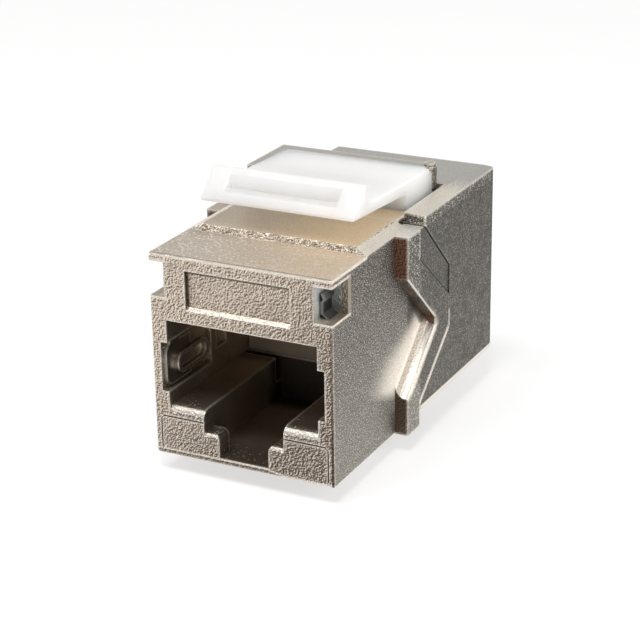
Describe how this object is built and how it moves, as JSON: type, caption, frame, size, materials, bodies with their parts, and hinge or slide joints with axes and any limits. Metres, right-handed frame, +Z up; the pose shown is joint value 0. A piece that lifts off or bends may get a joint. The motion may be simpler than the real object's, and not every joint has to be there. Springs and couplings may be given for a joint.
{
  "type": "keystone coupler",
  "caption": "In-line shielded modular-jack coupler for keystone panels: two die-cast metal halves with a plug port at each end and a white snap latch on top.",
  "frame": {"origin": "middle of the coupler's box at the level of the bottom hook's underside", "axes": "+Y along the coupler from the front port to the rear port, +Z up towards the latch, +X to the right as seen from the front"},
  "size_m": [0.017, 0.027, 0.0218],
  "materials": {
    "plated_zinc": "die-cast zinc, satin nickel plating over as-cast grain",
    "white_latch": "white moulded, slightly translucent",
    "dark_insert": "dark brown moulded insert",
    "board": "solder-masked glass laminate",
    "contact_gold": "gold-plated bronze wire",
    "spring_steel": "stamped and plated spring strip"
  },
  "bodies": {
    "housing": {"front_housing": "plated_zinc", "rear_housing": "plated_zinc", "front_contact_carrier": "dark_insert", "rear_contact_carrier": "dark_insert", "circuit_board": "board", "front_contact_1": "contact_gold", "front_contact_2": "contact_gold", "front_contact_3": "contact_gold", "front_contact_4": "contact_gold", "front_contact_5": "contact_gold", "front_contact_6": "contact_gold", "front_contact_7": "contact_gold", "front_contact_8": "contact_gold", "rear_contact_1": "contact_gold", "rear_contact_2": "contact_gold", "rear_contact_3": "contact_gold", "rear_contact_4": "contact_gold", "rear_contact_5": "contact_gold", "rear_contact_6": "contact_gold", "rear_contact_7": "contact_gold", "rear_contact_8": "contact_gold", "front_left_shield_spring": "spring_steel", "front_right_shield_spring": "spring_steel", "rear_left_shield_spring": "spring_steel", "rear_right_shield_spring": "spring_steel"},
    "latch": {"keystone_latch": "white_latch"}
  },
  "joints": [
    {"name": "latch_press", "type": "hinge", "parent": "housing", "child": "latch", "pos_m": [0, 0.0051, 0.0172], "axis": [1, 0, 0], "range_deg": [0, 6.5], "stiffness_Nm_per_rad": 1}
  ]
}
